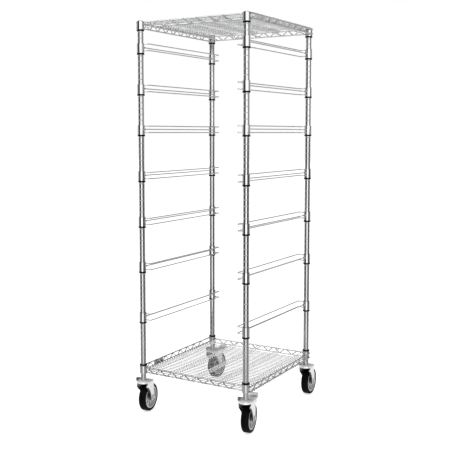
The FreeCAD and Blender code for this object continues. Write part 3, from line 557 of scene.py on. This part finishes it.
def slide_weld_beads(label, side):
    """Beads where the rails and tie wires of one side's slides meet their collars."""
    beads = bmesh.new()
    for groove in SLIDES:
        for end in (-1, 1):
            base = on_rack(side * SPAN_X, end * SPAN_Y, groove_z(groove))
            for level in RAIL_LEVELS:
                rail_end = base + mm(-side * SLIDE_COLLAR_R, 0, level)
                nugget(beads, rail_end, mm(*RAIL_END_BEAD), ALONG_X)
            tie_end = base + mm(-side * TIE_IN, -end * TIE_ALONG, TIE_Z)
            nugget(beads, tie_end, mm(*TIE_END_BEAD), ALONG_Y)
    finish_piece(f"tray_slide_weld_beads_{label}", beads, FINISHES["weld_steel"], "rack")


for shelf, (groove, way) in SHELVES.items():
    shelf_weld_beads(shelf, groove, way)
slide_weld_beads("left", -1)
slide_weld_beads("right", 1)

# ---------------------------------------------------------------- sleeves, caps and the blank plate

# In mm, with outlines of (radius, height): a sleeve's lip, how far its middle is from its groove, and the
# grip ribs round it; a cap's two rings and how far they are below the rack's top; the blank plate's clips.
LIP_R, LIP_MID = 16.3, -16.5
LIP_BEAD = [(13.2, -3.9), (15.9, -3.9), (LIP_R, -3.3), (LIP_R, 1.9), (15.9, 2.5), (13.2, 2.5)]
GRIPS, GRIP_SIZE = 26, (0.7, 1.3, 4.2)
CAP_RING, CAP_RING_DOWN = [(5.6, -0.2), (6.0, 0.25), (6.4, -0.2)], 0.3
SEAT_RING, SEAT_DOWN = [(12.5, 0.0), (12.69, 0.3), (12.5, 0.6)], 2.4
CLIP_RING, CLIP_Y = [(3.05, -2.5), (3.9, -2.5), (3.9, 2.5), (3.05, 2.5)], 24.0
PLATE_LOW, PLATE_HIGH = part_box("blank_plate")


def sleeve_grip_ribs(corner):
    """A rounded lip with grip ribs at the wide end of each of a post's sleeves."""
    grips = bmesh.new()
    levels = [(groove, 1) for groove in (*SLIDES, TOP_GROOVE)] + [(BOTTOM_GROOVE, -1)]
    for groove, way in levels:
        middle_z = (groove_z(groove) + way * LIP_MID) * MM
        centre = Matrix.Translation((POST_AT[corner].x, POST_AT[corner].y, middle_z))
        bead = [(radius * MM, way * height * MM) for radius, height in LIP_BEAD]
        lathe(grips, bead, centre, 40)
        for n in range(GRIPS):
            turn = Matrix.Rotation(2 * math.pi * (n + 0.5) / GRIPS, 4, "Z")
            block(grips, mm(*GRIP_SIZE), centre @ turn @ Matrix.Translation(mm(LIP_R, 0, 0)))
    finish_piece(f"sleeve_grip_ribs_{corner}", grips, FINISHES["sleeve_plastic"], "rack")


def post_cap_rings():
    """A moulded ring on each cap's head and another at its seat on the post."""
    marks = bmesh.new()
    for corner in CORNERS:
        for ring, down in ((CAP_RING, CAP_RING_DOWN), (SEAT_RING, SEAT_DOWN)):
            at = (POST_AT[corner].x, POST_AT[corner].y, CAD_HIGH.z - down * MM)
            lathe(marks, [(radius * MM, height * MM) for radius, height in ring], Matrix.Translation(at))
    finish_piece("post_cap_rings", marks, FINISHES["cap_plastic"], "rack")


def blank_plate_clips():
    """Clips that hold the blank plate to the bottom shelf's two side wires."""
    plate_mid = (PLATE_LOW + PLATE_HIGH) / 2
    clips = bmesh.new()
    ring = [(radius * MM, height * MM) for radius, height in CLIP_RING]
    for level in (NEAR, FAR):
        for y in (-CLIP_Y, CLIP_Y):
            wire_z = groove_z(BOTTOM_GROOVE) - level
            at = Vector((RACK_MIDDLE.x - SIDE_X * MM, plate_mid.y + y * MM, wire_z * MM))
            lathe(clips, ring, Matrix.Translation(at) @ turn_to(ALONG_Y), 32)
    finish_piece("blank_plate_clips", clips, FINISHES["plate_metal"], "rack")


for corner in CORNERS:
    sleeve_grip_ribs(corner)
post_cap_rings()
blank_plate_clips()

# ---------------------------------------------------------------- casters

# In mm, in a caster's own frame: the axle behind the stem's axis and above the floor, and the pedal's hinge.
TRAIL, WHEEL_Z = 42.0, 63.5
HINGE_Y, HINGE_Z = 48.0, 136.0

# Outlines of (distance from the axis, distance along it) in mm.
OUTER_LINE = [(56.8, 16.85), (57.3, 17.3), (57.8, 16.85)]
INNER_LINE = [(52.6, 16.8), (53.1, 17.2), (53.6, 16.8)]
TYRE_PIP = [(0.0, 0.6), (0.35, 0.6), (0.5, -0.5), (0.0, -0.5)]
RIM_STEP = [(44.6, 14.2), (45.2, 15.7), (46.4, 16.0), (47.6, 15.7), (48.0, 15.2)]
HUB_STEP = [(24.0, 4.8), (24.6, 5.8), (26.4, 5.8), (27.0, 4.8)]
THREAD_GUARD = [(7.0, 19.3), (15.0, 19.3), (16.4, 17.6), (17.2, 17.6), (15.8, 20.3), (7.0, 20.3)]
LEG_WASHER = [(8.75, 24.0), (10.6, 24.0), (10.6, 25.1), (10.2, 25.5), (8.75, 25.5)]
NUT_RING = [(4.9, 31.1), (6.6, 31.1), (6.6, 32.0), (6.0, 32.6), (4.9, 32.6)]
CROWN_STEP = [
    (25.0, 152.2), (25.5, 152.9), (27.0, 152.9), (27.6, 152.0), (27.6, 150.0), (29.0, 149.8), (25.0, 149.8)
]
LEG_EMBOSS, LEG_FACE = [(10.7, -0.4), (11.2, 0.6), (12.2, 0.6), (12.7, -0.4)], 24.0
PIPS, PIP_AT = 6, (55.0, 0, 16.9)
CORE_RIBS, CORE_RIB_AT, CORE_RIB_SIZE = 8, (31.0, 0, 6.2), (16.0, 2.2, 3.4)

# The tread bars across the pedal: how far behind and above the hinge, and half their length. The spring's
# start beside the hinge, its radius, wire, turns and length.
TREAD_BARS = ((26.0, 3.2, 12.0), (29.5, 2.75, 12.0), (50.2, 4.6, 14.0), (52.6, 7.0, 14.0))
SPRING_X, SPRING = 18.9, (3.7, 0.7, 4.0, 6.0)


def caster_frame(corner):
    """Matrix from the caster's own millimetres, about its post's axis at floor level, to the frame."""
    turn = Matrix((*heading(corner), (0, 0, 1))).transposed().to_4x4()
    foot = Vector((POST_AT[corner].x, POST_AT[corner].y, 0))
    return Matrix.Translation(foot) @ turn @ Matrix.Scale(MM, 4)


def wheel_sides(corner):
    """Matrices with +Z out along the axle, to one side of the wheel and to the other."""
    axle = caster_frame(corner) @ Matrix.Translation((0, TRAIL, WHEEL_Z)) @ turn_to(ALONG_X)
    return axle, axle @ Matrix.Rotation(math.pi, 4, "X")


def tyre_mould_lines(corner):
    """Raised mould lines and pips on both sidewalls."""
    mould = bmesh.new()
    for half in wheel_sides(corner):
        lathe(mould, OUTER_LINE, half, 96)
        lathe(mould, INNER_LINE, half, 96)
        for n in range(PIPS):
            turn = Matrix.Rotation(2 * math.pi / PIPS * n, 4, "Z")
            lathe(mould, TYRE_PIP, half @ turn @ Matrix.Translation(PIP_AT), 10)
    finish_piece(f"tyre_mould_lines_{corner}", mould, TYRES[corner], f"wheel_{corner}")


def wheel_core_steps(corner):
    """Moulded steps at the rim and hub of the wheel's core, and its ribs."""
    steps = bmesh.new()
    for half in wheel_sides(corner):
        lathe(steps, RIM_STEP, half, 96)
        lathe(steps, HUB_STEP, half, 72)
        for n in range(CORE_RIBS):
            turn = Matrix.Rotation(2 * math.pi / CORE_RIBS * n, 4, "Z")
            block(steps, CORE_RIB_SIZE, half @ turn @ Matrix.Translation(CORE_RIB_AT), 0.3)
    finish_piece(f"wheel_core_steps_{corner}", steps, CORES[corner], f"wheel_{corner}")


def axle_washers(corner):
    """Thread guards beside the hub, washers outside the legs and a ring on the nut."""
    washers = bmesh.new()
    sides = wheel_sides(corner)
    for half in sides:
        lathe(washers, THREAD_GUARD, half)
        lathe(washers, LEG_WASHER, half)
    lathe(washers, NUT_RING, sides[1])
    steel = FINISHES["bright_steel"]
    finish_piece(f"axle_washers_{corner}", washers, steel, f"fork_{corner}")


def fork_pressings(corner):
    """The step pressed round the fork's crown and the ring embossed on each leg."""
    here = caster_frame(corner)
    press = bmesh.new()
    lathe(press, CROWN_STEP, here, 72)
    for side in (-1, 1):
        face = Matrix.Translation((side * LEG_FACE, TRAIL, WHEEL_Z))
        lathe(press, LEG_EMBOSS, here @ face @ turn_to((side, 0, 0)))
    finish_piece(f"fork_pressings_{corner}", press, FINISHES["zinc_steel"], f"fork_{corner}")


def pedal_tread(corner):
    """Raised bars across a brake pedal."""
    hinge = caster_frame(corner) @ Matrix.Translation((0, HINGE_Y, HINGE_Z))
    tread = bmesh.new()
    for y, z, half in TREAD_BARS:
        bar = [(0.0, -half), (0.6, -half), (1.0, 0.6 - half), (1.0, half - 0.6), (0.6, half), (0.0, half)]
        lathe(tread, bar, hinge @ Matrix.Translation((0, y, z)) @ turn_to(ALONG_X), 16)
    finish_piece(f"pedal_tread_{corner}", tread, FINISHES["zinc_steel"], f"pedal_{corner}")


def pedal_spring(corner):
    """A coil spring at each end of a brake pedal's pin."""
    hinge = caster_frame(corner) @ Matrix.Translation((0, HINGE_Y, HINGE_Z))
    spring = bmesh.new()
    for side in (-1, 1):
        start = hinge @ Matrix.Translation((side * SPRING_X, 0, 0)) @ turn_to((side, 0, 0))
        coil(spring, *SPRING, start)
    steel = FINISHES["bright_steel"]
    finish_piece(f"pedal_spring_{corner}", spring, steel, f"pedal_{corner}")


for corner in CORNERS:
    tyre_mould_lines(corner)
    wheel_core_steps(corner)
    axle_washers(corner)
    fork_pressings(corner)
for corner in BRAKED:
    pedal_tread(corner)
    pedal_spring(corner)

# ---------------------------------------------------------------- camera, floor and light

YAW, PITCH = math.radians(30.75), math.radians(5.03)
CAMERA_FROM_RACK = (1.8450, -3.1224, 1.2696)
SENSOR_WIDTH, LENS, LENS_SHIFT = 36.0, 63.31, -0.05
DAYLIGHT, FLOOR_GLOW = 0.60, 0.62
CEILING, GROUND, BACKDROP = 0.12, 0.72, 1.0
FLOOR_SIZE, CAMERA_SEES_TO = 60.0, 60.0
# The walls' greys in reflections, from straight away from the camera (0) to straight towards it (1).
WALLS = ((0.0, 0.72), (0.30, 0.60), (0.52, 0.30), (0.63, 0.05), (0.925, 0.05), (0.965, 1.7), (1.0, 1.9))


def add_camera():
    """A long lens at the front right, a little above the rack's middle and aimed slightly down."""
    data = bpy.data.cameras.new("camera")
    data.sensor_width, data.lens = SENSOR_WIDTH, LENS
    data.shift_y = LENS_SHIFT
    data.clip_end = CAMERA_SEES_TO
    camera = bpy.data.objects.new("camera", data)
    bpy.context.collection.objects.link(camera)
    camera.location = Vector((RACK_MIDDLE.x, RACK_MIDDLE.y, 0)) + Vector(CAMERA_FROM_RACK)
    camera.rotation_euler = (math.pi / 2 - PITCH, 0, YAW)
    bpy.context.scene.camera = camera


def add_floor():
    """A plain pale floor that glows enough to print as white as the studio behind it."""
    bpy.ops.mesh.primitive_plane_add(size=FLOOR_SIZE, location=(0, 0, 0))
    floor = bpy.context.object
    floor.name = "floor"
    made = Shader("pale_floor", (0.93, 0.93, 0.93), 0.0, 0.75)
    made.surface.inputs["Specular IOR Level"].default_value = 0.0
    made.surface.inputs["Emission Color"].default_value = (1, 1, 1, 1)
    made.surface.inputs["Emission Strength"].default_value = FLOOR_GLOW
    made.colour(made.mix(made.noise(1.5, 3.0), (0.92, 0.92, 0.92), (0.94, 0.94, 0.94)))
    floor.data.materials.append(made.material)
    floor.visible_glossy = False


def add_light(name, place, target, size, power):
    """A soft square lamp that faces its target."""
    data = bpy.data.lights.new(name, "AREA")
    data.size = size
    data.energy = power
    lamp = bpy.data.objects.new(name, data)
    bpy.context.collection.objects.link(lamp)
    lamp.location = place
    lamp.rotation_euler = (Vector(target) - Vector(place)).to_track_quat("-Z", "Y").to_euler()


class WorldShader:
    """The studio's surroundings as node steps."""

    def __init__(self):
        world = bpy.data.worlds.new("studio")
        bpy.context.scene.world = world
        world.use_nodes = True
        self.tree = world.node_tree
        self.output = self.tree.nodes["Background"].inputs["Color"]
        self.way = self.tree.nodes.new("ShaderNodeTexCoord").outputs["Generated"]

    def join(self, output, socket):
        self.tree.links.new(output, socket)

    def along(self, direction):
        """How far each direction leans to this one, from 0 for away to 1 for straight along it."""
        dot = self.tree.nodes.new("ShaderNodeVectorMath")
        dot.operation = "DOT_PRODUCT"
        dot.inputs[1].default_value = direction
        self.join(self.way, dot.inputs[0])
        half = self.tree.nodes.new("ShaderNodeMath")
        half.operation = "MULTIPLY_ADD"
        half.inputs[1].default_value = 0.5
        half.inputs[2].default_value = 0.5
        self.join(dot.outputs["Value"], half.inputs[0])
        return half.outputs["Value"]

    def ramp(self, factor, stops):
        """A ramp of (position, grey) stops."""
        made = self.tree.nodes.new("ShaderNodeValToRGB")
        elements = made.color_ramp.elements
        while len(elements) < len(stops):
            elements.new(0.5)
        for element, (position, value) in zip(elements, stops):
            element.position = position
            element.color = (value, value, value, 1)
        self.join(factor, made.inputs["Fac"])
        return made.outputs["Color"]

    def mix(self, factor, a, b):
        """Grey or colour a where the factor is 0 and b where it is 1."""
        made = self.tree.nodes.new("ShaderNodeMix")
        made.data_type = "RGBA"
        self.join(factor, made.inputs[0])
        for socket, value in ((made.inputs[6], a), (made.inputs[7], b)):
            if isinstance(value, float):
                socket.default_value = (value, value, value, 1)
            else:
                self.join(value, socket)
        return made.outputs[2]


def add_world():
    """Reflections show a bright panel by the camera, dark walls beside it, pale walls beyond, a dim
    ceiling and a pale ground. Other light is an even grey, and the camera sees white."""
    world = WorldShader()
    walls = world.ramp(world.along((math.sin(YAW), -math.cos(YAW), 0)), WALLS)
    height = world.along((0, 0, 1))
    over = world.ramp(height, ((0.60, 0.0), (0.72, 1.0)))
    under = world.ramp(height, ((0.30, 1.0), (0.40, 0.0)))
    shiny = world.mix(under, world.mix(over, walls, CEILING), GROUND)
    light_path = world.tree.nodes.new("ShaderNodeLightPath").outputs
    even = world.mix(light_path["Is Glossy Ray"], DAYLIGHT, shiny)
    world.join(world.mix(light_path["Is Camera Ray"], even, BACKDROP), world.output)


add_camera()
add_floor()
add_world()
add_light("key", (-2.2, -3.0, 3.6), (0, 0, 0.9), 2.2, 55)
add_light("fill", (3.2, -1.0, 2.4), (0, 0, 0.8), 2.5, 25)
bpy.context.scene.view_settings.view_transform = "Standard"
